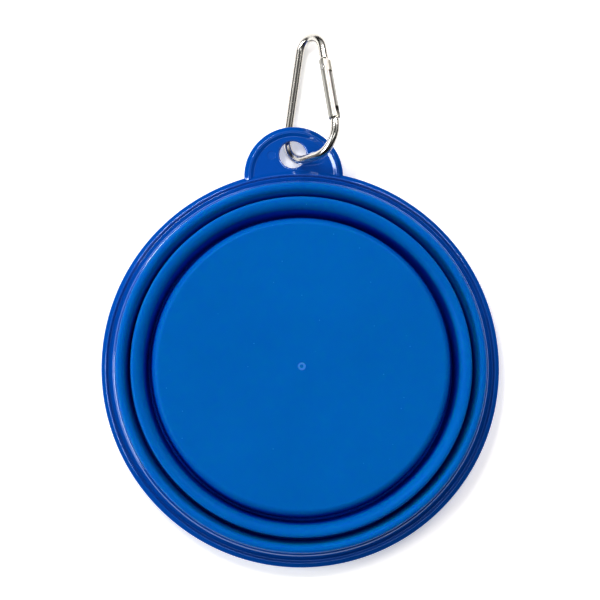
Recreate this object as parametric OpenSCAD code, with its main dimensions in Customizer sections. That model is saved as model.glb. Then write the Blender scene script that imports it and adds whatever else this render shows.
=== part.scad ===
// Collapsible silicone bowl, folded flat and lying mouth-down, with its carabiner.
// Millimetres. Z = 0 is the plane that the mouth rests on, +Z points out of the base's underside,
// and +Y points to the hanging tab. The origin is on the bowl's axis.

/* [Rim] */
// Outer radius of the rim's flange
rim_r = 65; // [60:0.5:72]
// Width of the flange outside the silicone
flange_w = 4; // [3.8:0.1:5]
// Thickness of the flange and of the tab
flange_t = 1.6; // [1.4:0.1:1.8]
// Wall of the ring around the mouth
mouth_w = 2.6; // [2.4:0.1:3]
// Width of the stiffening bead on the flange's edge
bead_w = 1.7; // [1.5:0.1:2]
// Height of the bead above the flange
bead_h = 0.8; // [0.5:0.1:1]
// Height of the collar above the flange
collar_h = 3.3; // [3:0.1:3.6]
// Wall of the collar at its top
collar_w = 1; // [0.8:0.1:1.2]
// Radius of the cove between collar and flange
cove_r = 1.8; // [1.4:0.1:1.9]

/* [Tab] */
// Radius of the tab's round outline
tab_r = 16.2; // [14.5:0.1:18]
// Distance of the eyelet's centre outside the flange's edge
eyelet_gap = 5.3; // [5.2:0.1:6]
// Distance from the eyelet's centre to the tab's end
tab_end = 9.1; // [8.7:0.1:9.4]
// Width of the raised lip around the tab
lip_w = 1.5; // [1.2:0.1:2]
// Width of the slope from the lip down to the tab's floor
lip_slope_w = 1.6; // [1:0.1:2]
// Room around the carabiner's wire in the eyelet
eyelet_play = 2.95; // [2.9:0.05:3.1]
// Radius of the ejector-pin mark on the tab
pin_mark_r = 1.4; // [1:0.1:1.6]

/* [Silicone body] */
// Thickness of the band moulded onto the rim
upper_wall_t = 1; // [0.8:0.1:1.1]
// Thickness of the middle band
middle_wall_t = 1.5; // [1.2:0.1:1.7]
// Thickness of the lowest band
base_wall_t = 1.6; // [1.4:0.1:2]
// Thickness of the base disc
base_t = 2.5; // [2:0.1:3]
// Thickness of the two pleats, measured level
fold_t = 1.3; // [1.1:0.1:1.4]
// Level distance over which the upper pleat leans in
upper_lean = 1.6; // [1.5:0.1:2.2]
// Level distance over which the lower pleat leans in
lower_lean = 1.7; // [1.5:0.1:2.3]
// Width of the shelf under the upper crest, outside its pleat
upper_shelf_w = 0.6; // [0.4:0.1:0.8]
// Width of the shelf under the lower crest, outside its pleat
lower_shelf_w = 1.4; // [1:0.1:1.8]
// Width of the groove around the middle band
groove_w = 0.3; // [0.3:0.1:1]
// Width of the groove around the base
base_groove_w = 0.7; // [0.5:0.1:1.1]
// Widening of the base's side towards its foot
base_flare = 0.6; // [0.3:0.1:1]
// Height of the upper crest when folded
upper_crest_z = 12; // [11.4:0.1:12.4]
// Height of the lower crest when folded
lower_crest_z = 13.8; // [13.2:0.1:14.2]
// Height of the base's underside when folded
base_z = 14.5; // [14.3:0.1:15.5]
// Height of both valleys when folded
valley_z = 2.2; // [1.8:0.1:2.6]
// Radius of the base disc's edge
base_edge_r = 2.2; // [1.6:0.1:2.4]

/* [Carabiner] */
// Radius of the bent bar
wire_r = 1.45; // [1.35:0.05:1.5]
// Length of the loop along its middle line
clip_len = 40.5; // [38:0.5:44]
// Bend radius at the narrow end
top_bend_r = 5.3; // [5:0.1:6]
// Bend radius at the wide end, on the spine's side
heel_bend_r = 7.5; // [7:0.1:8]
// Bend radius at the wide end, on the gate's side
nose_bend_r = 9; // [8.5:0.1:9.5]
// Offset of the heel bend from the narrow end's middle
heel_x = -5; // [-5.6:0.1:-4.6]
// Offset of the nose bend from the narrow end's middle
nose_x = 0.5; // [0:0.1:0.8]
// Roll of the resting loop about its length, in degrees
clip_roll = 46; // [45:0.5:48]
// Dip of the resting loop towards its narrow end, in degrees
clip_dip = 10; // [9.5:0.5:11]

/* [Gate] */
// Radius of the gate bar
gate_r = 1.9; // [1.8:0.05:2.1]
// Distance from the narrow bend down to the gate's pivot
pivot_drop = 7.7; // [7.2:0.1:8.2]
// Reach of the gate's cheeks above the pivot
cheek_len = 3; // [2.6:0.1:3.2]
// Thickness of the blades at both ends of the bent bar
blade_t = 1.2; // [1:0.05:1.3]
// Length of the latch blade
latch_len = 3.4; // [3:0.1:4]
// Radius of the rivet's shank
rivet_r = 0.6; // [0.5:0.02:0.65]
// Radius of the rivet's heads
rivet_head_r = 0.95; // [0.9:0.02:1.05]
// Radius of the bore for spring and plunger
spring_bore_r = 0.95; // [0.9:0.01:1]
// Length of the plunger
plunger_len = 2.2; // [2:0.1:2.6]

/* [Hidden] */
$fn = 96;
// Steps in each rounded corner of a turned profile
corner_steps = 6;
// Overrun of every cut
over = 1;

// Clearances
bond_gap = 0.02;
clip_gap = 0.4;
running_fit = 0.04;
press_fit = 0.01;
side_gap = 0.12;
end_gap = 0.3;
seat_gap = 0.05;

// Small radii of the rim
mouth_edge_r = 0.8;
flange_edge_r = 0.6;
bead_edge_r = 0.35;
collar_edge_r = 0.3;
pin_mark_depth = 0.15;
pin_mark_gap = 0.4;
lap_step = 0.4;
eyelet_land = 0.2;

// Levels and radii of the rim
mouth_h = 2 * wire_r + clip_gap;
floor_z = mouth_h + flange_t;
bead_z = floor_z + bead_h;
collar_z = floor_z + collar_h;
lap_r = rim_r - flange_w;
collar_out = lap_r + lap_step;
collar_in = collar_out - collar_w;
wall_in = collar_in - upper_wall_t;
mouth_in = wall_in;
tab_mid_z = mouth_h + flange_t / 2;
eyelet_y = rim_r + eyelet_gap;
tab_y = eyelet_y + tab_end - tab_r;
eyelet_r = wire_r + eyelet_play;

// Levels and radii of the pleats
crest_edge_r = 1;
upper_crest_drop = fold_t;
lower_crest_drop = 2.2;
upper_fold_top = upper_crest_z - upper_crest_drop;
lower_fold_top = lower_crest_z - lower_crest_drop;
fold_foot_z = valley_z + fold_t;
valley_edge_r = 1.1;
upper_fold_in = wall_in - upper_shelf_w - fold_t;
upper_foot_in = upper_fold_in - upper_lean;
middle_r = upper_foot_in - groove_w;
middle_in = middle_r - middle_wall_t;
lower_fold_in = middle_in - lower_shelf_w - fold_t;
lower_foot_in = lower_fold_in - lower_lean;
base_foot_r = lower_foot_in - base_groove_w;
base_r = base_foot_r - base_flare;
base_in = base_r - base_wall_t;
inner_edge_r = 1;
gate_mark_r = 1.3;
gate_mark_w = 0.35;
gate_mark_depth = 0.2;

// Bends of the carabiner, as centres in its own plane
top_c = [0, clip_len - top_bend_r];
heel_c = [heel_x, heel_bend_r];
nose_c = [nose_x, nose_bend_r];
gate_lean = tangent_lean(nose_c, nose_bend_r, 1);
spine_lean = tangent_lean(heel_c, heel_bend_r, -1);
top_right = on_bend(top_c, top_bend_r, gate_lean);
top_left = on_bend(top_c, top_bend_r, 180 - spine_lean);
heel_left = on_bend(heel_c, heel_bend_r, 180 - spine_lean);
nose_right = on_bend(nose_c, nose_bend_r, gate_lean);
gate_span = norm(top_right - nose_right);
// Point of the loop's plane that lies at the eyelet's centre
hang_in = 0.49;
hang_angle = 222.1;
hang_c = on_bend(heel_c, heel_bend_r - hang_in, hang_angle);

// Gate, measured along its bar from the pivot
gate_foot = gate_span - pivot_drop - end_gap;
shoulder_len = pivot_drop - cheek_len - end_gap;
blade_step = 0.2;
hinge_blade_w = 2 * (wire_r - blade_step);
cam_drop = 1.1;
cam_r = norm([hinge_blade_w / 2, cam_drop]);
slot_drop = cam_r + end_gap;
latch_blade_w = 2;
latch_wall_x = latch_blade_w / 2 + seat_gap;
rivet_head_t = 0.4;
rivet_seat_drop = 0.3;
rivet_seat_z = gate_r - rivet_seat_drop;
plunger_r = spring_bore_r - running_fit;
plunger_top = cam_drop + seat_gap;
spring_top = plunger_top + plunger_len + seat_gap;
spring_share = 0.55;
spring_len = spring_share * (gate_foot - latch_len - end_gap - spring_top);
bore_foot = spring_top + spring_len + seat_gap;
bore_top = plunger_top - end_gap;
bar_step = 0.02;
bar_lap = 0.12;
spring_wire_r = 0.14;
spring_pitch = 0.65;
spring_turns = max(2, round(spring_len / spring_pitch));
spring_rings = 12;
spring_sides = 6;

// Points along a bend, from angle a0 to a1 about c
function on_bend(c, r, a) = c + r * [cos(a), sin(a)];
function corner(c, r, a0, a1) = [for (i = [0 : corner_steps]) on_bend(c, r, a0 + (a1 - a0) * i / corner_steps)];

// Points of a crest that falls off inwards from its level start
function crest(start, run, drop) =
    let (r = (run * run + drop * drop) / (2 * drop))
    [for (i = [1 : corner_steps]) on_bend(start - [0, r], r, 90 + asin(run / r) * i / corner_steps)];

// Lean of the straight that touches a bend at the wide end and the narrow bend, on one side
function tangent_lean(c, r, side) =
    let (d = top_c - c)
    asin((r - top_bend_r) / norm(d)) - side * atan2(d[0], d[1]);

// Rim: mouth ring, flange with its bead, cove and collar
module rim_ring() {
    mouth_out = mouth_in + mouth_w;
    bead_in = rim_r - bead_w;
    cove_x = collar_out + cove_r;
    rotate_extrude()
        polygon(concat(
            [[mouth_in, floor_z]],
            corner([mouth_in + mouth_edge_r, mouth_edge_r], mouth_edge_r, 180, 270),
            corner([mouth_out - mouth_edge_r, mouth_edge_r], mouth_edge_r, 270, 360),
            [[mouth_out, mouth_h]],
            corner([rim_r - flange_edge_r, mouth_h + flange_edge_r], flange_edge_r, 270, 360),
            corner([rim_r - flange_edge_r, bead_z - flange_edge_r], flange_edge_r, 0, 90),
            corner([bead_in + bead_edge_r, bead_z - bead_edge_r], bead_edge_r, 90, 180),
            [[bead_in, floor_z]],
            corner([cove_x, floor_z + cove_r], cove_r, 270, 180),
            corner([collar_out - collar_edge_r, collar_z - collar_edge_r], collar_edge_r, 0, 90),
            [[collar_in, collar_z], [collar_in, floor_z]]));
}

// Round tab with its lip, before the eyelet is cut
module tab_plate() {
    lip_in = tab_r - lip_w;
    translate([0, tab_y, 0])
        rotate_extrude()
            polygon(concat(
                [[0, mouth_h]],
                corner([tab_r - flange_edge_r, mouth_h + flange_edge_r], flange_edge_r, 270, 360),
                corner([tab_r - flange_edge_r, bead_z - flange_edge_r], flange_edge_r, 0, 90),
                [[lip_in, bead_z], [lip_in - lip_slope_w, floor_z], [0, floor_z]]));
}

// Cut of the eyelet, which leaves a narrow land between two rounded edges
module eyelet_cut() {
    edge_r = (flange_t - eyelet_land) / 2;
    edge_x = eyelet_r + edge_r;
    translate([0, eyelet_y, 0])
        rotate_extrude()
            polygon(concat(
                [[0, mouth_h - over], [edge_x, mouth_h - over]],
                corner([edge_x, mouth_h + edge_r], edge_r, 270, 180),
                corner([edge_x, floor_z - edge_r], edge_r, 180, 90),
                [[edge_x, floor_z + over], [0, floor_z + over]]));
}

module rim() {
    mark_out = eyelet_r + flange_t / 2 + pin_mark_r + pin_mark_gap;
    color([0.02, 0.22, 0.56])
        difference() {
            union() {
                rim_ring();
                difference() {
                    tab_plate();
                    cylinder(r = rim_r - bead_w / 2, h = bead_z + over);
                }
            }
            eyelet_cut();
            translate([-mark_out, eyelet_y, floor_z - pin_mark_depth])
                cylinder(r = pin_mark_r, h = bead_h + over);
        }
}

// Silicone band that is moulded into the collar and laps over its edge, up to the upper crest
module upper_wall() {
    crest_start = [lap_r - crest_edge_r, upper_crest_z];
    color([0.02, 0.38, 0.73])
        rotate_extrude()
            polygon(concat(
                [[wall_in, floor_z], [collar_in - bond_gap, floor_z]],
                [[collar_in - bond_gap, collar_z], [lap_r, collar_z]],
                corner(crest_start - [0, crest_edge_r], crest_edge_r, 0, 90),
                crest(crest_start, crest_start[0] - upper_fold_in, upper_crest_drop),
                [[wall_in, upper_fold_top]]));
}

// Pleat that flips over when the bowl opens, as a leaning ring between two level faces
module pleat(top_in, top_z, foot_in) {
    rotate_extrude()
        polygon([[foot_in, fold_foot_z], [foot_in + fold_t, fold_foot_z],
            [top_in + fold_t, top_z], [top_in, top_z]]);
}

module upper_fold() {
    color([0.03, 0.4, 0.76])
        pleat(upper_fold_in, upper_fold_top, upper_foot_in);
}

module lower_fold() {
    color([0.03, 0.4, 0.76])
        pleat(lower_fold_in, lower_fold_top, lower_foot_in);
}

// Middle band with the upper valley at its foot and the lower crest at its top
module middle_wall() {
    foot_out = upper_foot_in + fold_t;
    crest_start = [middle_r - crest_edge_r, lower_crest_z];
    color([0.02, 0.38, 0.73])
        rotate_extrude()
            polygon(concat(
                corner([middle_in + valley_edge_r, valley_z + valley_edge_r], valley_edge_r, 180, 270),
                corner([foot_out - valley_edge_r, valley_z + valley_edge_r], valley_edge_r, 270, 360),
                [[foot_out, fold_foot_z], [middle_r, fold_foot_z]],
                corner(crest_start - [0, crest_edge_r], crest_edge_r, 0, 90),
                crest(crest_start, crest_start[0] - lower_fold_in, lower_crest_drop),
                [[middle_in, lower_fold_top]]));
}

// Lowest band and base disc, with the lower valley at its foot and the gate mark on the disc
module base() {
    foot_out = lower_foot_in + fold_t;
    inner_foot = base_foot_r - base_wall_t;
    inner_z = base_z - base_t;
    color([0.0, 0.37, 0.73])
        difference() {
            rotate_extrude()
                polygon(concat(
                    [[0, inner_z]],
                    corner([base_in - inner_edge_r, inner_z - inner_edge_r], inner_edge_r, 90, 0),
                    corner([inner_foot + valley_edge_r, valley_z + valley_edge_r], valley_edge_r, 180, 270),
                    corner([foot_out - valley_edge_r, valley_z + valley_edge_r], valley_edge_r, 270, 360),
                    [[foot_out, fold_foot_z], [base_foot_r, fold_foot_z]],
                    corner([base_r - base_edge_r, base_z - base_edge_r], base_edge_r, 0, 90),
                    [[0, base_z]]));
            translate([0, 0, base_z - gate_mark_depth])
                difference() {
                    cylinder(r = gate_mark_r, h = over);
                    cylinder(r = gate_mark_r - gate_mark_w, h = gate_mark_depth / 2);
                }
        }
}

// Place of the carabiner: its plane passes through the eyelet's centre, rolled and dipped
module on_clip() {
    translate([0, eyelet_y, tab_mid_z])
        rotate([-clip_dip, 0, 0])
            rotate([0, -clip_roll, 0])
                translate(-hang_c)
                    children();
}

// Place of the gate: origin on its pivot, its bar along Y, its opening side towards -X
module on_gate() {
    on_clip()
        translate(top_right)
            rotate([0, 0, gate_lean])
                translate([0, -pivot_drop, 0])
                    children();
}

// Bend and straight of the round bar; a straight is a hair thicker and runs a little into the bends
module bar_bend(c, r, a0, a1) {
    translate(c)
        rotate([0, 0, a0])
            rotate_extrude(angle = a1 - a0)
                translate([r, 0])
                    circle(r = wire_r);
}

module bar_straight(p, q, lap_end) {
    d = q - p;
    translate(p)
        rotate([0, 0, atan2(d[1], d[0])])
            rotate([0, 90, 0])
                translate([0, 0, -bar_lap])
                    cylinder(r = wire_r + bar_step, h = norm(d) + bar_lap + lap_end);
}

// Blade that carries the rivet, with the flat that the plunger presses on
module hinge_blade() {
    linear_extrude(height = blade_t, center = true)
        difference() {
            translate([-hinge_blade_w / 2, -cam_drop])
                square([hinge_blade_w, pivot_drop - shoulder_len + cam_drop + wire_r]);
            circle(r = rivet_r + press_fit);
        }
}

// Blade with a round end that the gate's slot closes over
module latch_blade() {
    translate([-latch_blade_w / 2, -gate_foot - end_gap - wire_r, -blade_t / 2])
        cube([latch_blade_w, latch_len + wire_r - latch_blade_w / 2, blade_t]);
    translate([0, latch_len - gate_foot - end_gap - latch_blade_w / 2, -blade_t / 2])
        cylinder(r = latch_blade_w / 2, h = blade_t);
}

module carabiner_body() {
    color([0.78, 0.78, 0.8]) {
        on_clip() {
            bar_bend(top_c, top_bend_r, gate_lean, 180 - spine_lean);
            bar_straight(top_left, heel_left, bar_lap);
            bar_bend(heel_c, heel_bend_r, 180 - spine_lean, 270);
            bar_straight([heel_c[0], 0], [nose_c[0], 0], bar_lap);
            bar_bend(nose_c, nose_bend_r, -90, gate_lean);
        }
        on_gate() {
            bar_straight([0, pivot_drop], [0, pivot_drop - shoulder_len], 0);
            hinge_blade();
            latch_blade();
        }
    }
}

// Solid round gate: slotted for both blades, spot-faced for the rivet, bored for the spring
module carabiner_gate() {
    slot_t = blade_t + 2 * side_gap;
    latch_top = latch_len + end_gap;
    color([0.72, 0.72, 0.74])
        on_gate()
            difference() {
                intersection() {
                    translate([0, -gate_foot, 0])
                        rotate([-90, 0, 0])
                            cylinder(r = gate_r, h = gate_foot + cheek_len);
                    translate([0, 0, -gate_r - over])
                        linear_extrude(height = 2 * (gate_r + over)) {
                            circle(r = cheek_len);
                            translate([-gate_r - over, -gate_foot - over])
                                square([2 * (gate_r + over), gate_foot + over]);
                        }
                }
                translate([-gate_r - over, -slot_drop, -slot_t / 2])
                    cube([2 * (gate_r + over), slot_drop + cheek_len + over, slot_t]);
                translate([-latch_wall_x, -gate_foot - over, -slot_t / 2])
                    cube([latch_wall_x + gate_r + over, latch_top + over, slot_t]);
                translate([0, 0, -gate_r - over])
                    cylinder(r = rivet_r + running_fit, h = 2 * (gate_r + over));
                for (side = [0, 1])
                    mirror([0, 0, side])
                        translate([0, 0, rivet_seat_z])
                            cylinder(r = rivet_head_r + running_fit, h = over);
                translate([0, -bore_foot, 0])
                    rotate([-90, 0, 0])
                        cylinder(r = spring_bore_r, h = bore_foot - bore_top);
            }
}

// Rivet: shank with a low round head on each side
module gate_rivet() {
    head_z = rivet_seat_z + seat_gap;
    color([0.66, 0.66, 0.68])
        on_gate() {
            translate([0, 0, -head_z])
                cylinder(r = rivet_r, h = 2 * head_z);
            for (side = [0, 1])
                mirror([0, 0, side])
                    translate([0, 0, head_z])
                        rotate_extrude()
                            polygon(concat(
                                [[0, 0], [rivet_head_r, 0]],
                                corner([rivet_head_r - rivet_head_t / 2, rivet_head_t / 2], rivet_head_t / 2, 0, 90),
                                [[0, rivet_head_t]]));
        }
}

// Closing spring: one unbroken helix with flat ends, seated in the gate's bore
module gate_spring() {
    mean_r = spring_bore_r - running_fit - spring_wire_r;
    rise = spring_len - 2 * spring_wire_r;
    rings = spring_turns * spring_rings;
    points = [for (i = [0 : rings]) for (k = [0 : spring_sides - 1])
        let (
            turn = 360 * i / spring_rings,
            spread = 360 * k / spring_sides,
            r = mean_r + spring_wire_r * cos(spread)
        )
        [r * cos(turn), r * sin(turn), spring_wire_r + rise * i / rings + spring_wire_r * sin(spread)]];
    sides = [for (i = [0 : rings - 1]) for (k = [0 : spring_sides - 1])
        let (
            a = i * spring_sides + k,
            b = i * spring_sides + (k + 1) % spring_sides
        )
        each [[a, b, b + spring_sides], [a, b + spring_sides, a + spring_sides]]];
    first = [for (k = [1 : spring_sides - 2]) [0, k + 1, k]];
    last_ring = rings * spring_sides;
    last = [for (k = [1 : spring_sides - 2]) [last_ring, last_ring + k, last_ring + k + 1]];
    color([0.6, 0.6, 0.62])
        on_gate()
            translate([0, -spring_top - spring_len, 0])
                rotate([-90, 0, 0])
                    polyhedron(points = points, faces = concat(first, sides, last));
}

// Plunger: short pin with a chamfered tip that the spring holds against the blade's flat
module gate_plunger() {
    tip_chamfer = plunger_r / 4;
    color([0.7, 0.68, 0.62])
        on_gate()
            translate([0, -plunger_top - plunger_len, 0])
                rotate([-90, 0, 0])
                    rotate_extrude()
                        polygon([[0, 0], [plunger_r, 0], [plunger_r, plunger_len - tip_chamfer],
                            [plunger_r - tip_chamfer, plunger_len], [0, plunger_len]]);
}

rim();
upper_wall();
upper_fold();
middle_wall();
lower_fold();
base();
carabiner_body();
carabiner_gate();
gate_rivet();
gate_spring();
gate_plunger();
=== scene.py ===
import math

import bpy
from mathutils import Matrix, Vector
from mathutils.geometry import interpolate_bezier


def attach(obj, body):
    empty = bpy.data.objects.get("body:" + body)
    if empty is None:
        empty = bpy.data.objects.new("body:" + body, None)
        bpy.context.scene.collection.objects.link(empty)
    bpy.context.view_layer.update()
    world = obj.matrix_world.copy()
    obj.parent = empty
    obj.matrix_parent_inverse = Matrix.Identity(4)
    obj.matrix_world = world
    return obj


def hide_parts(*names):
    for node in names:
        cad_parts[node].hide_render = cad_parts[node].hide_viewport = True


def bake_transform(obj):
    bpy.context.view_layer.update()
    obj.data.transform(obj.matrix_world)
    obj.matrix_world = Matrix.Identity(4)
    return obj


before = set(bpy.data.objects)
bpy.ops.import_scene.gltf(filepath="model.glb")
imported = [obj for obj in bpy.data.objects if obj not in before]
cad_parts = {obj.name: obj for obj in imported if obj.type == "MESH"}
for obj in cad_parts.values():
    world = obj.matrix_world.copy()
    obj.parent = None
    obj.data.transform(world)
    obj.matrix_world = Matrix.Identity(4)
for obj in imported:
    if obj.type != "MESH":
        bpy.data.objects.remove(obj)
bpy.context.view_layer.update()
scene = bpy.context.scene
mm = 0.001  # every size in the dictionaries is in millimetres
mergeMm = 0.001  # points closer than this become one point
ringSteps = 240  # facets round the bowl's large rings
print("frame loaded with", len(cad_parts), "solids")


def selectOnly(*pieces):
    if bpy.context.object and bpy.context.object.mode != "OBJECT":
        bpy.ops.object.mode_set(mode="OBJECT")
    bpy.ops.object.select_all(action="DESELECT")
    for piece in pieces:
        piece.select_set(True)
        bpy.context.view_layer.objects.active = piece


# camera: above the base, leaning a little towards the bowl's front and left
camera = {
    "target": (0.57, 22.31, 5.7), "away": 1500, "tiltDeg": 4.9, "sideDeg": -2.1, "rollDeg": 2.05,
    "viewWidth": 196.1, "sensor": 36, "farEnd": 20000, "gamma": 0.85}

selectOnly()
bpy.ops.object.camera_add()
viewer = bpy.context.object
viewer.name = "viewer"
viewer.matrix_world = (
    Matrix.Translation(Vector(camera["target"]) * mm)
    @ Matrix.Rotation(math.radians(-camera["rollDeg"]), 4, "Z")
    @ Matrix.Rotation(math.radians(camera["sideDeg"]), 4, "Y")
    @ Matrix.Rotation(math.radians(camera["tiltDeg"]), 4, "X")
    @ Matrix.Translation((0, 0, camera["away"] * mm))
)
viewer.data.sensor_width = camera["sensor"]
viewer.data.lens = camera["sensor"] * camera["away"] / camera["viewWidth"]
viewer.data.clip_end = camera["farEnd"] * mm
scene.camera = viewer
scene.view_settings.view_transform = "Standard"
scene.view_settings.gamma = camera["gamma"]  # a little more contrast than plain sRGB


# colours come as sRGB hex and go to the shaders as linear values
def toLinear(hexColour):
    channels = [int(hexColour[i:i + 2], 16) / 255 for i in (0, 2, 4)]
    return [c / 12.92 if c <= 0.04045 else ((c + 0.055) / 1.055) ** 2.4 for c in channels] + [1]


# adds one node: settings are its properties or input values, links go from input name to a socket
def addNode(tree, kind, settings=None, links=None):
    node = tree.nodes.new(kind)
    for key, value in (settings or {}).items():
        if isinstance(key, str) and hasattr(node, key):
            setattr(node, key, value)
        else:
            node.inputs[key].default_value = value
    for key, source in (links or {}).items():
        tree.links.new(source, node.inputs[key])
    return node


def startMaterial(name):
    material = bpy.data.materials.new(name)
    material.use_nodes = True
    tree = material.node_tree
    place = addNode(tree, "ShaderNodeTexCoord").outputs["Object"]
    return material, tree, tree.nodes["Principled BSDF"], place


# silicone rubber from a fine-blasted mould: satin, a broad soft shine, blue light bleeding into its grooves, lint,
# painted shade in its grooves and a painted highlight ring on the gate's mark
# the blasted grain is really about 0.1 mm and is drawn coarser so that it shows
siliconeLook = {
    "light": "0074C0", "dark": "006BB4", "groove": "003ABC", "lint": "4CA4E0", "specTint": "3C82FF",
    "bleed": 0.6, "bleedMm": 3.2, "bleedTint": (0.01, 0.2, 1.0),
    "cloudMm": 30, "grainMm": 0.7, "grainDepthMm": 0.02, "grainBump": 0.3,
    "lintMm": 4.3, "lintSize": 0.054, "lintCover": 0.6, "roughLow": 0.36, "roughHigh": 0.46, "ior": 1.41,
    "turnedPitchMm": 1.1, "turnedDepthMm": 0.006, "turnedBump": 0.5, "turnedWobble": 0.6, "turnedAniso": 0.55,
    # painted highlight: the pale ring on the edges of the gate's mark, with its radius and width
    "paintedMarkGlint": "4A98DC", "paintedMarkGlintR": 0.95, "paintedMarkGlintWide": 0.7,
}


def makeSilicone(name, grooveMm, turned=False):
    look = siliconeLook
    material, tree, shader, place = startMaterial(name)
    cloud = addNode(tree, "ShaderNodeTexNoise", {"Scale": 1 / (look["cloudMm"] * mm), "Detail": 2}, {"Vector": place})
    tone = addNode(
        tree, "ShaderNodeMix",
        {"data_type": "RGBA", 6: toLinear(look["dark"]), 7: toLinear(look["light"])}, {0: cloud.outputs[0]})
    cells = addNode(tree, "ShaderNodeTexVoronoi", {"Scale": 1 / (look["lintMm"] * mm)}, {"Vector": place})
    lint = addNode(
        tree, "ShaderNodeMapRange",
        {"From Min": look["lintSize"] / 2, "From Max": look["lintSize"], "To Min": look["lintCover"], "To Max": 0},
        {"Value": cells.outputs["Distance"]})
    dusty = addNode(
        tree, "ShaderNodeMix", {"data_type": "RGBA", 7: toLinear(look["lint"])},
        {0: lint.outputs[0], 6: tone.outputs[2]})
    # painted shade: occluded nooks are mixed towards the darker groove colour
    grooveShadeMask = addNode(tree, "ShaderNodeAmbientOcclusion", {"samples": 4, "Distance": grooveMm * mm})
    colour = addNode(
        tree, "ShaderNodeMix", {"data_type": "RGBA", 6: toLinear(look["groove"])},
        {0: grooveShadeMask.outputs["AO"], 7: dusty.outputs[2]})
    grain = addNode(tree, "ShaderNodeTexNoise", {"Scale": 1 / (look["grainMm"] * mm), "Detail": 3}, {"Vector": place})
    rough = addNode(
        tree, "ShaderNodeMapRange", {"To Min": look["roughLow"], "To Max": look["roughHigh"]},
        {"Value": grain.outputs[0]})
    bump = addNode(
        tree, "ShaderNodeBump", {"Strength": look["grainBump"], "Distance": look["grainDepthMm"] * mm},
        {"Height": grain.outputs[0]})
    # the mould's disc was turned on a lathe, drawn coarser than its real 0.1 mm feed so that it shows
    # a wave texture repeats every pi / (10 * Scale), and a pale ring over the gate's mark is a painted highlight on
    # its edges
    if turned:
        rings = addNode(
            tree, "ShaderNodeTexWave",
            {"wave_type": "RINGS", "rings_direction": "Z", "Scale": math.pi / (10 * look["turnedPitchMm"] * mm),
             "Distortion": look["turnedWobble"], "Detail": 2},
            {"Vector": place})
        bump = addNode(
            tree, "ShaderNodeBump", {"Strength": look["turnedBump"], "Distance": look["turnedDepthMm"] * mm},
            {"Height": rings.outputs["Fac"], "Normal": bump.outputs[0]})
        flat = addNode(tree, "ShaderNodeVectorMath", {"operation": "MULTIPLY", 1: (1, 1, 0)}, {0: place})
        axisAway = addNode(tree, "ShaderNodeVectorMath", {"operation": "LENGTH"}, {0: flat.outputs[0]})
        # painted highlight: a pale ring over the edges of the gate's mark
        paintedMarkGlint = addNode(
            tree, "ShaderNodeMath", {"operation": "COMPARE", 1: look["paintedMarkGlintR"] * mm, 2: look["paintedMarkGlintWide"] / 2 * mm},
            {0: axisAway.outputs["Value"]})
        colour = addNode(
            tree, "ShaderNodeMix", {"data_type": "RGBA", 7: toLinear(look["paintedMarkGlint"])},
            {0: paintedMarkGlint.outputs[0], 6: colour.outputs[2]})
        swirl = addNode(tree, "ShaderNodeTangent", {"direction_type": "RADIAL", "axis": "Z"})
        shader.inputs["Anisotropic"].default_value = look["turnedAniso"]
        tree.links.new(swirl.outputs[0], shader.inputs["Tangent"])
    shader.inputs["IOR"].default_value = look["ior"]
    shader.inputs["Specular Tint"].default_value = toLinear(look["specTint"])
    shader.inputs["Subsurface Weight"].default_value = look["bleed"]
    shader.inputs["Subsurface Radius"].default_value = look["bleedTint"]
    shader.inputs["Subsurface Scale"].default_value = look["bleedMm"] * mm
    tree.links.new(colour.outputs[2], shader.inputs["Base Color"])
    tree.links.new(rough.outputs[0], shader.inputs["Roughness"])
    tree.links.new(bump.outputs[0], shader.inputs["Normal"])
    return material


# painted shade: the bands are darkened only in their nooks, the deep groove round the base further up its walls
satinSilicone = makeSilicone("satinSilicone", grooveMm=1.4)
deepShadeSilicone = makeSilicone("deepShadeSilicone", grooveMm=7)
turnedSilicone = makeSilicone("turnedSilicone", grooveMm=7, turned=True)

# polypropylene from a polished mould: deep colour, clear reflections with slow sink waves, dull where the pin pushed
plasticLook = {
    "light": "005CBA", "dark": "0053AC", "pinMark": "0C5CB8", "pinFade": 0.05, "pinDull": 0.1,
    "specTint": "A8C8FF", "skin": 1.0, "skinRough": 0.03, "skinIor": 1.75, "ior": 1.49,
    "cloudMm": 20, "sinkMm": 7, "sinkDepthMm": 0.02, "sinkBump": 0.35,
    "scuffMm": 0.9, "roughLow": 0.07, "roughHigh": 0.15,
}


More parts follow.
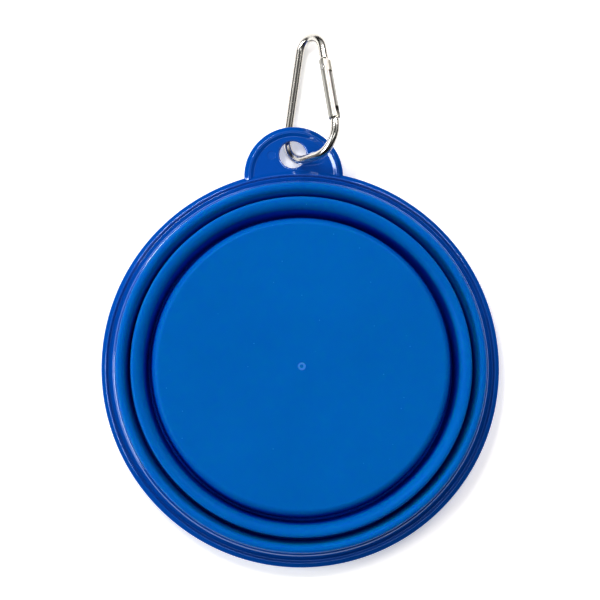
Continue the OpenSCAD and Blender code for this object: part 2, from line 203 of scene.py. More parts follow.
def makePlastic(name, pinPlace, pinR):
    look = plasticLook
    material, tree, shader, place = startMaterial(name)
    flat = addNode(tree, "ShaderNodeVectorMath", {"operation": "MULTIPLY", 1: (1, 1, 0)}, {0: place}).outputs[0]
    pinAway = addNode(
        tree, "ShaderNodeVectorMath", {"operation": "DISTANCE", 1: Vector((*pinPlace, 0)) * mm}, {0: flat})
    pin = addNode(
        tree, "ShaderNodeMapRange",
        {"From Min": pinR * mm * (1 - look["pinFade"]), "From Max": pinR * mm * (1 + look["pinFade"]),
         "To Min": 1, "To Max": 0},
        {"Value": pinAway.outputs["Value"]})
    cloud = addNode(tree, "ShaderNodeTexNoise", {"Scale": 1 / (look["cloudMm"] * mm), "Detail": 2}, {"Vector": place})
    tone = addNode(
        tree, "ShaderNodeMix",
        {"data_type": "RGBA", 6: toLinear(look["dark"]), 7: toLinear(look["light"])}, {0: cloud.outputs[0]})
    colour = addNode(
        tree, "ShaderNodeMix", {"data_type": "RGBA", 7: toLinear(look["pinMark"])},
        {0: pin.outputs[0], 6: tone.outputs[2]})
    scuff = addNode(tree, "ShaderNodeTexNoise", {"Scale": 1 / (look["scuffMm"] * mm), "Detail": 4}, {"Vector": place})
    rough = addNode(
        tree, "ShaderNodeMapRange", {"To Min": look["roughLow"], "To Max": look["roughHigh"]},
        {"Value": scuff.outputs[0]})
    dull = addNode(
        tree, "ShaderNodeMath", {"operation": "MULTIPLY_ADD", 1: look["pinDull"]},
        {0: pin.outputs[0], 2: rough.outputs[0]})
    sink = addNode(tree, "ShaderNodeTexNoise", {"Scale": 1 / (look["sinkMm"] * mm), "Detail": 1}, {"Vector": place})
    bump = addNode(
        tree, "ShaderNodeBump", {"Strength": look["sinkBump"], "Distance": look["sinkDepthMm"] * mm},
        {"Height": sink.outputs[0]})
    shader.inputs["IOR"].default_value = look["ior"]
    shader.inputs["Specular Tint"].default_value = toLinear(look["specTint"])
    shader.inputs["Coat Weight"].default_value = look["skin"]
    shader.inputs["Coat Roughness"].default_value = look["skinRough"]
    shader.inputs["Coat IOR"].default_value = look["skinIor"]
    tree.links.new(colour.outputs[2], shader.inputs["Base Color"])
    tree.links.new(dull.outputs[0], shader.inputs["Roughness"])
    tree.links.new(bump.outputs[0], shader.inputs["Normal"])
    return material


# metals: nickel plate over tumbled alloy is a rippled mirror, satin where the gate was brushed
# drawn steel and turned brass are duller
nickelLook = {
    "light": "E2E0DC", "dark": "CECBC4", "toneMm": 4, "rippleMm": 2.2, "rippleDepthMm": 0.006, "rippleBump": 0.4,
    "rubMm": 0.5, "roughLow": 0.14, "roughHigh": 0.24}
satinLook = {
    "light": "BAB9B4", "dark": "ABAAA4", "toneMm": 3, "rippleMm": 1.6, "rippleDepthMm": 0.008, "rippleBump": 0.4,
    "rubMm": 0.4, "roughLow": 0.3, "roughHigh": 0.42}
steelLook = {
    "light": "CFCFCE", "dark": "B4B3B0", "toneMm": 1.5, "rippleMm": 0.8, "rippleDepthMm": 0.01, "rippleBump": 0.4,
    "rubMm": 0.25, "roughLow": 0.18, "roughHigh": 0.34}
brassLook = {
    "light": "DBC58C", "dark": "C4A866", "toneMm": 1.5, "rippleMm": 0.8, "rippleDepthMm": 0.01, "rippleBump": 0.4,
    "rubMm": 0.25, "roughLow": 0.18, "roughHigh": 0.32}


def makeMetal(name, look):
    material, tree, shader, place = startMaterial(name)
    tone = addNode(tree, "ShaderNodeTexNoise", {"Scale": 1 / (look["toneMm"] * mm), "Detail": 3}, {"Vector": place})
    colour = addNode(
        tree, "ShaderNodeMix",
        {"data_type": "RGBA", 6: toLinear(look["dark"]), 7: toLinear(look["light"])}, {0: tone.outputs[0]})
    rub = addNode(tree, "ShaderNodeTexNoise", {"Scale": 1 / (look["rubMm"] * mm), "Detail": 4}, {"Vector": place})
    rough = addNode(
        tree, "ShaderNodeMapRange", {"To Min": look["roughLow"], "To Max": look["roughHigh"]},
        {"Value": rub.outputs[0]})
    ripple = addNode(
        tree, "ShaderNodeTexNoise", {"Scale": 1 / (look["rippleMm"] * mm), "Detail": 1}, {"Vector": place})
    bump = addNode(
        tree, "ShaderNodeBump", {"Strength": look["rippleBump"], "Distance": look["rippleDepthMm"] * mm},
        {"Height": ripple.outputs[0]})
    shader.inputs["Metallic"].default_value = 1
    tree.links.new(colour.outputs[2], shader.inputs["Base Color"])
    tree.links.new(rough.outputs[0], shader.inputs["Roughness"])
    tree.links.new(bump.outputs[0], shader.inputs["Normal"])
    return material


nickelPlate = makeMetal("nickelPlate", nickelLook)
satinNickel = makeMetal("satinNickel", satinLook)
drawnSteel = makeMetal("drawnSteel", steelLook)
turnedBrass = makeMetal("turnedBrass", brassLook)

# matt white card on a light table: even and bright, with a faint paper tooth and a weak glow from below
cardLook = {
    "colour": "F4F4F3", "toothMm": 1.2, "toothDepthMm": 0.02, "toothBump": 0.2,
    "roughness": 0.9, "specLevel": 0.1, "glow": 0.45}


def makeCard(name):
    material, tree, shader, place = startMaterial(name)
    tooth = addNode(
        tree, "ShaderNodeTexNoise", {"Scale": 1 / (cardLook["toothMm"] * mm), "Detail": 2}, {"Vector": place})
    bump = addNode(
        tree, "ShaderNodeBump", {"Strength": cardLook["toothBump"], "Distance": cardLook["toothDepthMm"] * mm},
        {"Height": tooth.outputs[0]})
    shader.inputs["Base Color"].default_value = toLinear(cardLook["colour"])
    shader.inputs["Roughness"].default_value = cardLook["roughness"]
    shader.inputs["Specular IOR Level"].default_value = cardLook["specLevel"]
    shader.inputs["Emission Color"].default_value = toLinear(cardLook["colour"])
    shader.inputs["Emission Strength"].default_value = cardLook["glow"]
    tree.links.new(bump.outputs[0], shader.inputs["Normal"])
    return material


whiteCard = makeCard("whiteCard")
print("materials made")


# points of an arc in the outline's plane
def arcPoints(centre, radius, fromDeg, toDeg, stepDeg=4):
    steps = max(2, math.ceil(abs(toDeg - fromDeg) / stepDeg))
    angles = [math.radians(fromDeg + (toDeg - fromDeg) * k / steps) for k in range(steps + 1)]
    return [(centre[0] + radius * math.cos(a), centre[1] + radius * math.sin(a)) for a in angles]


# an outline of corners (radius, height) or (radius, height, rounding), with its roundings drawn
def roundOutline(corners):
    points = []
    for i, corner in enumerate(corners):
        if len(corner) == 2:
            points.append(corner)
            continue
        here = Vector(corner[:2])
        before = (Vector(corners[i - 1][:2]) - here).normalized()
        after = (Vector(corners[(i + 1) % len(corners)][:2]) - here).normalized()
        half = before.angle(after) / 2
        centre = here + (before + after).normalized() * corner[2] / math.sin(half)
        start = here + before * corner[2] / math.tan(half) - centre
        end = here + after * corner[2] / math.tan(half) - centre
        fromDeg = math.degrees(math.atan2(start.y, start.x))
        sweep = (math.degrees(math.atan2(end.y, end.x)) - fromDeg + 180) % 360 - 180
        points += arcPoints(centre, corner[2], fromDeg, fromDeg + sweep)
    return points


# points of a smooth curve between two ends, each with its slope in degrees and the length of its handle
def curvePoints(start, startDeg, startPull, end, endDeg, endPull, steps=16):
    handles = []
    for place, slope, pull in ((start, startDeg, startPull), (end, endDeg, -endPull)):
        turn = math.radians(slope)
        handles.append((place[0] - pull * math.cos(turn), place[1] - pull * math.sin(turn)))
    ends = [Vector((*p, 0)) for p in (start, *handles, end)]
    return [tuple(p[:2]) for p in interpolate_bezier(*ends, steps)]


# a plane is merged to one point, drawn out along the outline and spun about an upright axis
def turnOutline(name, outline, axis=(0, 0), steps=ringSteps, closed=True):
    selectOnly()
    bpy.ops.mesh.primitive_plane_add(size=mm)
    piece = bpy.context.object
    piece.name = name
    bpy.ops.object.mode_set(mode="EDIT")
    bpy.ops.mesh.merge(type="CENTER")
    bpy.ops.transform.translate(value=((axis[0] + outline[0][0]) * mm, axis[1] * mm, outline[0][1] * mm))
    path = outline + outline[:1] if closed else outline
    for here, there in zip(path, path[1:]):
        step = ((there[0] - here[0]) * mm, 0, (there[1] - here[1]) * mm)
        bpy.ops.mesh.extrude_vertices_move(TRANSFORM_OT_translate={"value": step})
    bpy.ops.mesh.select_all(action="SELECT")
    bpy.ops.mesh.remove_doubles(threshold=mergeMm * mm)
    bpy.ops.mesh.spin(steps=steps, angle=2 * math.pi, center=(axis[0] * mm, axis[1] * mm, 0), axis=(0, 0, 1))
    bpy.ops.mesh.select_all(action="SELECT")
    bpy.ops.mesh.remove_doubles(threshold=mergeMm * mm)
    bpy.ops.mesh.normals_make_consistent(inside=False)
    bpy.ops.object.mode_set(mode="OBJECT")
    return piece


def applyModifier(piece, kind, settings):
    selectOnly(piece)
    modifier = piece.modifiers.new(kind.lower(), kind)
    for key, value in settings.items():
        setattr(modifier, key, value)
    bpy.ops.object.modifier_apply(modifier=modifier.name)


# a tool is cut out of a piece, joined to it or shared with it, and then thrown away
def carve(piece, tool, operation="DIFFERENCE"):
    applyModifier(piece, "BOOLEAN", {"object": tool, "operation": operation, "solver": "EXACT"})
    bpy.data.objects.remove(tool)


# places a piece by a matrix that goes into its mesh
def placePiece(piece, matrix):
    selectOnly(piece)
    piece.matrix_world = matrix
    bpy.ops.object.transform_apply(location=True, rotation=True, scale=True)


def finishPiece(piece, material, nodes, smoothDeg=32):
    selectOnly(piece)
    bpy.ops.object.mode_set(mode="EDIT")
    bpy.ops.mesh.select_all(action="SELECT")
    bpy.ops.mesh.remove_doubles(threshold=mergeMm * mm)
    bpy.ops.mesh.delete_loose()
    bpy.ops.mesh.normals_make_consistent(inside=False)
    bpy.ops.object.mode_set(mode="OBJECT")
    bpy.ops.object.shade_smooth_by_angle(angle=math.radians(smoothDeg))
    applyModifier(piece, "WEIGHTED_NORMAL", {"keep_sharp": True, "weight": 80})
    piece.data.materials.clear()
    piece.data.materials.append(material)
    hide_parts(*nodes)
    print(piece.name, "has", len(piece.data.polygons), "faces")


# floor
floor = {"size": 8000, "drop": 0.05}

selectOnly()
bpy.ops.mesh.primitive_plane_add(size=floor["size"] * mm, location=(0, 0, -floor["drop"] * mm))
table = bpy.context.object
table.name = "table"
table.data.materials.append(whiteCard)

# rim: mouth ring, flange with a sloped outer edge and a low bead, and a collar with a sloped wall
rim = {
    "mouthIn": 59.4, "mouthOut": 62.0, "mouthRound": 0.8, "edge": 65.0, "edgeRound": 0.6,
    "skirtZ": 4.7, "skirtRound": 0.35, "crest": 63.7, "crestRound": 0.4, "under": 3.3, "underRound": 0.3,
    "floor": 4.9, "beadTop": 5.7, "beadIn": 63.3, "beadRound": 0.2, "beadFoot": 0.09,
    "collarFoot": 62.6, "collarEdge": 61.03, "collarIn": 60.4, "collarTop": 8.2, "collarRound": 0.95, "cove": 0.3,
}
rimPiece = turnOutline("rimAndTab", roundOutline([
    (rim["mouthIn"], rim["floor"]),
    (rim["mouthIn"], 0, rim["mouthRound"]), (rim["mouthOut"], 0, rim["mouthRound"]),
    (rim["mouthOut"], rim["under"], rim["underRound"]),
    (rim["edge"], rim["under"], rim["edgeRound"]), (rim["edge"], rim["skirtZ"], rim["skirtRound"]),
    (rim["crest"], rim["beadTop"], rim["crestRound"]),
    (rim["beadIn"], rim["beadTop"], rim["beadRound"]), (rim["beadIn"], rim["floor"], rim["beadFoot"]),
    (rim["collarFoot"], rim["floor"], rim["cove"]), (rim["collarEdge"], rim["collarTop"], rim["collarRound"]),
    (rim["collarIn"], rim["collarTop"]), (rim["collarIn"], rim["floor"]),
]))

# tab: round plate with a raised lip, an eyelet with rounded edges and the mark of an ejector pin
tab = {
    "axis": (0, 63.2), "edge": 16.2, "edgeRound": 0.6, "skirtZ": 4.75, "skirtRound": 0.35, "under": 3.31,
    "floor": 4.9, "lipTop": 5.69, "crest": 14.8, "crestRound": 0.4, "lipIn": 14.2, "lipRound": 0.35,
    "slopeIn": 13.1, "slopeRound": 0.5, "steps": 160, "trim": 64.15, "trimDeep": 50,
    "eyelet": (0, 70.3), "eyeletR": 4.4, "eyeletRound": 0.7, "eyeletSteps": 96, "cross": 0.02, "over": 1,
    "pin": (-7.0, 70.3), "pinR": 1.4, "pinDepth": 0.15, "pinDraft": 0.06, "pinSteps": 48,
}
glossyPolypropylene = makePlastic("glossyPolypropylene", tab["pin"], tab["pinR"])
tabPiece = turnOutline("tabPlate", roundOutline([
    (0, tab["under"]), (tab["edge"], tab["under"], tab["edgeRound"]), (tab["edge"], tab["skirtZ"], tab["skirtRound"]),
    (tab["crest"], tab["lipTop"], tab["crestRound"]),
    (tab["lipIn"], tab["lipTop"], tab["lipRound"]), (tab["slopeIn"], tab["floor"], tab["slopeRound"]),
    (0, tab["floor"]),
]), tab["axis"], tab["steps"], closed=False)
# the plate is cut back to just inside the rim's edge before the two are joined
selectOnly()
bpy.ops.mesh.primitive_cylinder_add(vertices=ringSteps, radius=tab["trim"] * mm, depth=tab["trimDeep"] * mm)
carve(tabPiece, bpy.context.object)
carve(rimPiece, tabPiece, "UNION")
# the cutting tools pass through the plate's faces, because an edge that lies in a face leaves slivers
eyeletEdge = tab["eyeletR"] + tab["eyeletRound"]
low, high = rim["under"] - tab["over"], tab["floor"] + tab["over"]
carve(rimPiece, turnOutline("eyeletCut", (
    [(0, low), (eyeletEdge, low)]
    + arcPoints((eyeletEdge, rim["under"] + tab["eyeletRound"] - tab["cross"]), tab["eyeletRound"], 270, 180)
    + arcPoints((eyeletEdge, tab["floor"] - tab["eyeletRound"] + tab["cross"]), tab["eyeletRound"], 180, 90)
    + [(eyeletEdge, high), (0, high)]
), tab["eyelet"], tab["eyeletSteps"], closed=False))
carve(rimPiece, turnOutline("pinCut", [
    (0, tab["floor"] - tab["pinDepth"]), (tab["pinR"] - tab["pinDraft"], tab["floor"] - tab["pinDepth"]),
    (tab["pinR"] + tab["pinDraft"] * tab["over"] / tab["pinDepth"], high), (0, high),
], tab["pin"], tab["pinSteps"], closed=False))
finishPiece(rimPiece, glossyPolypropylene, ["rim"], smoothDeg=26)
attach(rimPiece, "rim")

# upper band: moulded into the collar, seated on its top edge and rounded into the first crest
upperBand = {
    "in": 59.4, "bond": 60.38, "foot": 4.9, "lapZ": 8.2, "lapR": 60.5, "crestZ": 12.0, "crestRound": 1.0,
    "foldIn": 57.5, "foldZ": 10.7, "crestDeg": 0, "crestPull": 1.0, "foldDeg": 55, "foldPull": 1.0,
}
crestStart = (upperBand["lapR"] - upperBand["crestRound"], upperBand["crestZ"])
foldStart = (upperBand["foldIn"], upperBand["foldZ"])
bandPiece = turnOutline("upperBand", (
    [(upperBand["in"], upperBand["foot"]), (upperBand["bond"], upperBand["foot"]),
     (upperBand["bond"], upperBand["lapZ"]), (upperBand["lapR"], upperBand["lapZ"])]
    + arcPoints((crestStart[0], crestStart[1] - upperBand["crestRound"]), upperBand["crestRound"], 0, 90)
    + curvePoints(crestStart, upperBand["crestDeg"], upperBand["crestPull"],
                  foldStart, upperBand["foldDeg"], upperBand["foldPull"])[1:]
    + [(upperBand["in"], upperBand["foldZ"])]
))
finishPiece(bandPiece, satinSilicone, ["upper_wall"])
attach(bandPiece, "rim")


# a pleat: a leaning ring between a crest and a valley that turns inside out when the bowl opens
def makePleat(name, node, pleat, material):
    top, foot = (pleat["topIn"], pleat["topZ"]), (pleat["footIn"], pleat["footZ"])
    inner = curvePoints(
        top, pleat["topDeg"], pleat["topPull"], foot, pleat["footDeg"], pleat["footPull"], pleat["steps"])
    outer = [(r + pleat["thick"], z) for r, z in reversed(inner)]
    piece = turnOutline(name, inner + outer)
    finishPiece(piece, material, [node])
    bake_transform(piece)


upperPleat = {
    "topIn": upperBand["foldIn"], "topZ": upperBand["foldZ"], "topDeg": upperBand["foldDeg"], "topPull": 1.6,
    "footIn": 55.9, "footZ": 3.5, "footDeg": 87, "footPull": 2.6, "thick": 1.3, "steps": 24}
makePleat("upperPleat", "upper_fold", upperPleat, satinSilicone)

# middle band: valley at its foot, straight wall, and the second crest rolling over into the lower pleat
middleBand = {
    "in": 54.1, "out": 55.6, "valleyZ": 2.2, "valleyRound": 1.1, "footOut": 57.2, "footZ": 3.5,
    "crestZ": 13.8, "crestRound": 1.0, "foldIn": 51.4, "foldZ": 11.6,
    "crestDeg": 0, "crestPull": 1.42, "foldDeg": 69, "foldPull": 1.42,
}
crestStart = (middleBand["out"] - middleBand["crestRound"], middleBand["crestZ"])
foldStart = (middleBand["foldIn"], middleBand["foldZ"])
valleyIn, valleyOut = middleBand["in"] + middleBand["valleyRound"], middleBand["footOut"] - middleBand["valleyRound"]
valleyMid = middleBand["valleyZ"] + middleBand["valleyRound"]
middlePiece = turnOutline("middleBand", (
    arcPoints((valleyIn, valleyMid), middleBand["valleyRound"], 180, 270)
    + arcPoints((valleyOut, valleyMid), middleBand["valleyRound"], 270, 360)
    + [(middleBand["footOut"], middleBand["footZ"]), (middleBand["out"], middleBand["footZ"])]
    + arcPoints((crestStart[0], crestStart[1] - middleBand["crestRound"]), middleBand["crestRound"], 0, 90)
    + curvePoints(crestStart, middleBand["crestDeg"], middleBand["crestPull"],
                  foldStart, middleBand["foldDeg"], middleBand["foldPull"])[1:]
    + [(middleBand["in"], middleBand["foldZ"])]
))
finishPiece(middlePiece, satinSilicone, ["middle_wall"])
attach(middlePiece, "middle")

lowerPleat = {
    "topIn": middleBand["foldIn"], "topZ": middleBand["foldZ"], "topDeg": middleBand["foldDeg"], "topPull": 2.4,
    "footIn": 49.7, "footZ": 3.5, "footDeg": 82, "footPull": 2.4, "thick": 1.3, "steps": 24}
makePleat("lowerPleat", "lower_fold", lowerPleat, deepShadeSilicone)

# base: valley, flared side, rounded edge and the flat disc with the mark of the mould's gate in its middle
baseCup = {
    "discUnder": 12.0, "in": 46.8, "inRound": 1.0, "footIn": 47.4, "valleyZ": 2.2, "valleyRound": 1.1,
    "footOut": 51.0, "footZ": 3.5, "side": 49.0, "edge": 48.4, "top": 14.5, "edgeRound": 2.2,
    "markR": 1.3, "markWide": 0.35, "markDeep": 0.2, "nubDrop": 0.1, "markRound": 0.09,
}
basePiece = turnOutline("baseCup", roundOutline([
    (0, baseCup["discUnder"]), (baseCup["in"], baseCup["discUnder"], baseCup["inRound"]),
    (baseCup["footIn"], baseCup["valleyZ"], baseCup["valleyRound"]),
    (baseCup["footOut"], baseCup["valleyZ"], baseCup["valleyRound"]),
    (baseCup["footOut"], baseCup["footZ"]), (baseCup["side"], baseCup["footZ"]),
    (baseCup["edge"], baseCup["top"], baseCup["edgeRound"]),
    (baseCup["markR"], baseCup["top"], baseCup["markRound"]),
    (baseCup["markR"], baseCup["top"] - baseCup["markDeep"], baseCup["markRound"]),
    (baseCup["markR"] - baseCup["markWide"], baseCup["top"] - baseCup["markDeep"], baseCup["markRound"]),
    (baseCup["markR"] - baseCup["markWide"], baseCup["top"] - baseCup["nubDrop"], baseCup["markRound"] / 2),
    (0, baseCup["top"] - baseCup["nubDrop"]),
]), closed=False)
finishPiece(basePiece, turnedSilicone, ["base"])
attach(basePiece, "base")

# carabiner: a round bar bent to a pear-shaped loop in its own plane, with a flat blade at each end
clip = {
    "barR": 1.45, "topBend": ((0, 35.2), 5.3), "heelBend": ((-5, 7.5), 7.5), "noseBend": ((0.5, 9), 9),
    "shoulder": 4.4, "pivotDrop": 7.7, "capRound": 0.22, "sides": 32, "bendStepDeg": 4,
    "eyeletZ": 4.1, "dipDeg": 10, "rollDeg": 46, "hangIn": 0.49, "hangDeg": 222.1,
    "bladeThick": 1.2, "hingeBladeWide": 2.5, "hingeBladeLow": -1.1, "hingeBladeHigh": 4.75,
    "rivetHole": 0.61, "holeReach": 3,
    "latchBladeWide": 2.0, "latchLong": 3.4, "endGap": 0.3, "bladeRound": 0.12,
}


def bendPoint(bend, angleDeg, inwards=0):
    turn = math.radians(angleDeg)
    return Vector((bend[0][0], bend[0][1], 0)) + Vector((math.cos(turn), math.sin(turn), 0)) * (bend[1] - inwards)


# lean of the straight bar between the narrow bend and a wide one, on one side of the loop
def straightLean(bend, side):
    across, along = clip["topBend"][0][0] - bend[0][0], clip["topBend"][0][1] - bend[0][1]
    tilt = math.asin((bend[1] - clip["topBend"][1]) / math.hypot(across, along))
    return math.degrees(tilt - side * math.atan2(across, along))


gateLean, spineLean = straightLean(clip["noseBend"], 1), straightLean(clip["heelBend"], -1)
topRight, topLeft = bendPoint(clip["topBend"], gateLean), bendPoint(clip["topBend"], 180 - spineLean)
heelLeft, noseRight = bendPoint(clip["heelBend"], 180 - spineLean), bendPoint(clip["noseBend"], gateLean)
gateSpan = (topRight - noseRight).length
gateFoot = gateSpan - clip["pivotDrop"] - clip["endGap"]

# the loop hangs in the eyelet, rolled and dipped; the gate's own place has its pivot at the origin and its bar along Y
clipPlace = (
    Matrix.Translation(Vector((*tab["eyelet"], clip["eyeletZ"])) * mm)
    @ Matrix.Rotation(math.radians(-clip["dipDeg"]), 4, "X")
    @ Matrix.Rotation(math.radians(-clip["rollDeg"]), 4, "Y")
    @ Matrix.Translation(-bendPoint(clip["heelBend"], clip["hangDeg"], clip["hangIn"]) * mm)
)
gatePlace = (
    Matrix.Translation(topRight * mm)
    @ Matrix.Rotation(math.radians(gateLean), 4, "Z")
    @ Matrix.Translation((0, -clip["pivotDrop"] * mm, 0))
)


def extrudeBar(step):
    bpy.ops.mesh.extrude_region_move(TRANSFORM_OT_translate={"value": step * mm})


# spin turns clockwise for a positive angle, so a bend that runs anticlockwise is given a negative one
def bendBar(bend, sweepDeg):
    bpy.ops.mesh.spin(
        steps=math.ceil(sweepDeg / clip["bendStepDeg"]), angle=-math.radians(sweepDeg),
        center=(bend[0][0] * mm, bend[0][1] * mm, 0), axis=(0, 0, 1))


# a box with rounded edges, between two corners
def roundBox(name, low, high, rounding):
    selectOnly()
    middle = [(a + b) / 2 * mm for a, b in zip(low, high)]
    bpy.ops.mesh.primitive_cube_add(size=mm, location=middle)
    box = bpy.context.object
    box.name = name
    bpy.ops.object.mode_set(mode="EDIT")
    bpy.ops.mesh.select_all(action="SELECT")
    bpy.ops.transform.resize(value=[b - a for a, b in zip(low, high)])
    if rounding:
        bpy.ops.mesh.bevel(offset=rounding * mm, segments=3, affect="EDGES")
    bpy.ops.object.mode_set(mode="OBJECT")
    placePiece(box, box.matrix_world)
    return box


# a cylinder along Z or Y, between two ends
def roundTool(radius, low, high, along="Z", at=(0, 0), sides=48):
    selectOnly()
    middle = (low + high) / 2
    place = (at[0], at[1], middle) if along == "Z" else (at[0], middle, at[1])
    bpy.ops.mesh.primitive_cylinder_add(
        vertices=sides, radius=radius * mm, depth=(high - low) * mm, location=Vector(place) * mm,
        rotation=(0 if along == "Z" else math.pi / 2, 0, 0))
    bpy.ops.object.transform_apply(location=True, rotation=True, scale=True)
    return bpy.context.object


selectOnly()
barDown = (noseRight - topRight).normalized()
bpy.ops.mesh.primitive_circle_add(
    vertices=clip["sides"], radius=clip["barR"] * mm, location=(topRight + barDown * clip["shoulder"]) * mm,
    rotation=(math.pi / 2, 0, math.radians(gateLean)))
bar = bpy.context.object
bar.name = "carabinerBar"
bpy.ops.object.transform_apply(location=True, rotation=True, scale=True)
bpy.ops.object.mode_set(mode="EDIT")
bpy.ops.mesh.select_all(action="SELECT")
extrudeBar(-barDown * clip["shoulder"])
bendBar(clip["topBend"], 180 - spineLean - gateLean)
extrudeBar(heelLeft - topLeft)
bendBar(clip["heelBend"], 90 + spineLean)
extrudeBar(Vector((clip["noseBend"][0][0] - clip["heelBend"][0][0], 0, 0)))
bendBar(clip["noseBend"], 90 + gateLean)
bpy.ops.mesh.select_all(action="SELECT")
bpy.ops.mesh.fill_holes(sides=0)
bpy.ops.mesh.normals_make_consistent(inside=False)
bpy.ops.mesh.select_all(action="DESELECT")
bpy.ops.object.mode_set(mode="OBJECT")
for face in bar.data.polygons:
    face.select = len(face.vertices) > 4  # the bar's two ends, as its sides are all quads
bpy.ops.object.mode_set(mode="EDIT")
bpy.ops.mesh.bevel(offset=clip["capRound"] * mm, segments=3, affect="EDGES")
bpy.ops.object.mode_set(mode="OBJECT")

# blades: one with the rivet's hole at the hinge, one with a round tip that the gate closes on
half = clip["bladeThick"] / 2
hingeBlade = roundBox(
    "hingeBlade", (-clip["hingeBladeWide"] / 2, clip["hingeBladeLow"], -half),
    (clip["hingeBladeWide"] / 2, clip["hingeBladeHigh"], half), clip["bladeRound"])
carve(hingeBlade, roundTool(clip["rivetHole"], -clip["holeReach"], clip["holeReach"]))
latchTip = clip["latchLong"] - gateFoot - clip["endGap"] - clip["latchBladeWide"] / 2
latchBlade = roundBox(
    "latchBlade", (-clip["latchBladeWide"] / 2, -gateFoot - clip["endGap"] - clip["barR"], -half),
    (clip["latchBladeWide"] / 2, latchTip, half), 0)
carve(latchBlade, roundTool(clip["latchBladeWide"] / 2, -half, half, at=(0, latchTip)), "UNION")
for blade in (hingeBlade, latchBlade):
    placePiece(blade, gatePlace)
    carve(bar, blade, "UNION")
placePiece(bar, clipPlace)
finishPiece(bar, nickelPlate, ["carabiner_body"])
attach(bar, "carabiner")

# gate: round bar, slotted for both blades, spot-faced for the rivet and bored for the spring
gate = {
    "r": 1.9, "cheek": 3.0, "slotThick": 1.44, "slotDrop": 1.965, "latchWall": 1.05, "latchTop": 3.7,
    "rivetHole": 0.64, "seatR": 0.99, "seatZ": 1.6, "boreR": 0.95, "boreTop": 0.85, "boreFoot": 9.41,
    "edgeRound": 0.09, "bevelDeg": 50, "over": 1, "drawBelow": -0.01,
}
gatePiece = roundTool(gate["r"], -gateFoot, gate["cheek"], "Y", sides=64)
gatePiece.name = "carabinerGate"
# a disc whose lower half is drawn down to the gate's foot rounds the cheeks' tops
cheekShape = roundTool(gate["cheek"], -gate["r"] - gate["over"], gate["r"] + gate["over"], sides=96)
selectOnly(cheekShape)
bpy.ops.object.mode_set(mode="EDIT")
bpy.ops.mesh.select_all(action="DESELECT")
bpy.ops.object.mode_set(mode="OBJECT")
for point in cheekShape.data.vertices:
    point.select = point.co.y < gate["drawBelow"] * mm
bpy.ops.object.mode_set(mode="EDIT")
bpy.ops.transform.translate(value=(0, -gateFoot * mm, 0))
bpy.ops.object.mode_set(mode="OBJECT")
carve(gatePiece, cheekShape, "INTERSECT")
side, slotHalf = gate["r"] + gate["over"], gate["slotThick"] / 2
carve(gatePiece, roundBox(
    "hingeSlot", (-side, -gate["slotDrop"], -slotHalf), (side, gate["cheek"] + gate["over"], slotHalf), 0))
carve(gatePiece, roundBox(
    "latchSlot", (-gate["latchWall"], -gateFoot - gate["over"], -slotHalf),
    (side, gate["latchTop"] - gateFoot, slotHalf), 0))
carve(gatePiece, roundTool(gate["rivetHole"], -side, side))
for low, high in ((gate["seatZ"], side), (-side, -gate["seatZ"])):
    carve(gatePiece, roundTool(gate["seatR"], low, high))
carve(gatePiece, roundTool(gate["boreR"], -gate["boreFoot"], -gate["boreTop"], "Y"))
applyModifier(gatePiece, "BEVEL", {
    "width": gate["edgeRound"] * mm, "segments": 2, "limit_method": "ANGLE",
    "angle_limit": math.radians(gate["bevelDeg"])})
placePiece(gatePiece, clipPlace @ gatePlace)
finishPiece(gatePiece, satinNickel, ["carabiner_gate"])
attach(gatePiece, "gate")

# rivet: shank with a low round head on each side
rivet = {"r": 0.6, "headR": 0.95, "seat": 1.65, "end": 2.05, "headRound": 0.28}
rivetPiece = turnOutline("gateRivet", roundOutline([
    (0, -rivet["end"]), (rivet["headR"], -rivet["end"], rivet["headRound"]), (rivet["headR"], -rivet["seat"]),
    (rivet["r"], -rivet["seat"]), (rivet["r"], rivet["seat"]), (rivet["headR"], rivet["seat"]),
    (rivet["headR"], rivet["end"], rivet["headRound"]), (0, rivet["end"]),
]), steps=48, closed=False)
placePiece(rivetPiece, clipPlace @ gatePlace)
finishPiece(rivetPiece, drawnSteel, ["gate_rivet"])
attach(rivetPiece, "carabiner")

# plunger: short pin with a chamfered tip, held against the blade by the spring
plunger = {"r": 0.91, "tip": 1.15, "foot": 3.35, "chamfer": 0.23, "footRound": 0.1}
plungerPiece = turnOutline("gatePlunger", roundOutline([
    (0, plunger["tip"]), (plunger["r"] - plunger["chamfer"], plunger["tip"]),
    (plunger["r"], plunger["tip"] + plunger["chamfer"]), (plunger["r"], plunger["foot"], plunger["footRound"]),
    (0, plunger["foot"]),
]), steps=48, closed=False)
placePiece(plungerPiece, clipPlace @ gatePlace @ Matrix.Rotation(math.pi / 2, 4, "X"))
finishPiece(plungerPiece, turnedBrass, ["gate_plunger"])
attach(plungerPiece, "plunger")

# spring: a coil between the plunger and the end of its bore, which shortens as the plunger moves
spring = {"coilR": 0.77, "wireR": 0.14, "top": 3.4, "foot": 9.36, "turns": 9, "sides": 10, "turnSteps": 20}
selectOnly()
bpy.ops.mesh.primitive_circle_add(
    vertices=spring["sides"], radius=spring["wireR"] * mm,
    location=(spring["coilR"] * mm, -(spring["top"] + spring["wireR"]) * mm, 0))
coil = bpy.context.object
coil.name = "gateSpring"
bpy.ops.object.transform_apply(location=True, rotation=True, scale=True)
applyModifier(coil, "SCREW", {
    "axis": "Y", "angle": 2 * math.pi, "iterations": spring["turns"],
    "screw_offset": -(spring["foot"] - spring["top"] - 2 * spring["wireR"]) / spring["turns"] * mm,
    "steps": spring["turnSteps"], "render_steps": spring["turnSteps"]})
bpy.ops.object.mode_set(mode="EDIT")
bpy.ops.mesh.select_all(action="SELECT")
bpy.ops.mesh.remove_doubles(threshold=mergeMm * mm)
bpy.ops.mesh.fill_holes(sides=0)
bpy.ops.object.mode_set(mode="OBJECT")
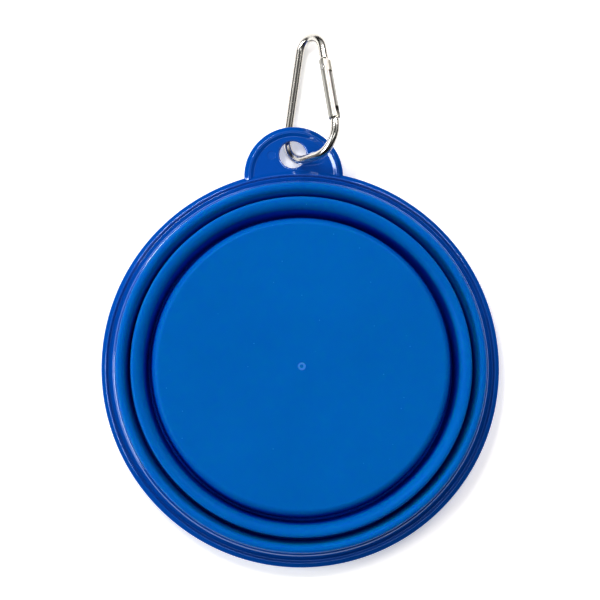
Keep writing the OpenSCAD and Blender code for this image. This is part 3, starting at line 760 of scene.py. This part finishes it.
placePiece(coil, clipPlace @ gatePlace)
finishPiece(coil, drawnSteel, ["gate_spring"])
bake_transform(coil)

# light: a soft room, bright half-way up behind and at the sides, dim overhead, in front and near the ground
# softboxes: a strip behind on the left, a large box on the left, a strip behind on the right, a weak one overhead
room = {
    "zenith": "404040", "middle": "E2E2E2", "front": "585858", "horizon": "141414", "strength": 0.99,
    "backLean": 0.1, "lowFade": (0.42, 0.67), "highFade": (0.82, 0.97), "backFade": (-0.45, 0.2)}
softboxes = {
    "keyBox": {
        "azimuthDeg": 122, "risenDeg": 52, "away": 1300, "wide": 480, "high": 150, "power": 6.6, "tint": "FFFBF8"},
    "leftBox": {
        "azimuthDeg": 188, "risenDeg": 33, "away": 1200, "wide": 680, "high": 420, "power": 7.9, "tint": "FFFFFF"},
    "frontBox": {
        "azimuthDeg": 288, "risenDeg": 78, "away": 1300, "wide": 700, "high": 260, "power": 1.4, "tint": "FFFFFF"},
    "rightBox": {
        "azimuthDeg": 52, "risenDeg": 44, "away": 1250, "wide": 620, "high": 150, "power": 4.8, "tint": "FFF4F6"},
}
world = bpy.data.worlds.new("softRoom")
scene.world = world
world.use_nodes = True
sky = world.node_tree
facing = addNode(sky, "ShaderNodeTexCoord").outputs["Generated"]
rise = addNode(sky, "ShaderNodeSeparateXYZ", {}, {0: facing})
lean = addNode(sky, "ShaderNodeVectorMath", {"operation": "DOT_PRODUCT", 1: (0, room["backLean"], 1)}, {0: facing})
lowFade, highFade, backFade = [
    addNode(sky, "ShaderNodeMapRange", {"From Min": room[fade][0], "From Max": room[fade][1]}, {"Value": height})
    for fade, height in (
        ("lowFade", lean.outputs["Value"]), ("highFade", rise.outputs["Z"]), ("backFade", rise.outputs["Y"]))]
midSky = addNode(
    sky, "ShaderNodeMix", {"data_type": "RGBA", 6: toLinear(room["front"]), 7: toLinear(room["middle"])},
    {0: backFade.outputs[0]})
lowSky = addNode(
    sky, "ShaderNodeMix", {"data_type": "RGBA", 6: toLinear(room["horizon"])},
    {0: lowFade.outputs[0], 7: midSky.outputs[2]})
wholeSky = addNode(
    sky, "ShaderNodeMix", {"data_type": "RGBA", 7: toLinear(room["zenith"])},
    {0: highFade.outputs[0], 6: lowSky.outputs[2]})
sky.nodes["Background"].inputs["Strength"].default_value = room["strength"]
sky.links.new(wholeSky.outputs[2], sky.nodes["Background"].inputs["Color"])
for name, box in softboxes.items():
    around, risen = math.radians(box["azimuthDeg"]), math.radians(box["risenDeg"])
    outwards = Vector((math.cos(around) * math.cos(risen), math.sin(around) * math.cos(risen), math.sin(risen)))
    selectOnly()
    bpy.ops.object.light_add(type="AREA", location=outwards * box["away"] * mm)
    lamp = bpy.context.object
    lamp.name = name
    lamp.rotation_euler = outwards.to_track_quat("Z", "Y").to_euler()
    lamp.data.shape = "RECTANGLE"
    lamp.data.size, lamp.data.size_y = box["wide"] * mm, box["high"] * mm
    lamp.data.energy = box["power"]
    lamp.data.color = toLinear(box["tint"])[:3]
print("lights set")
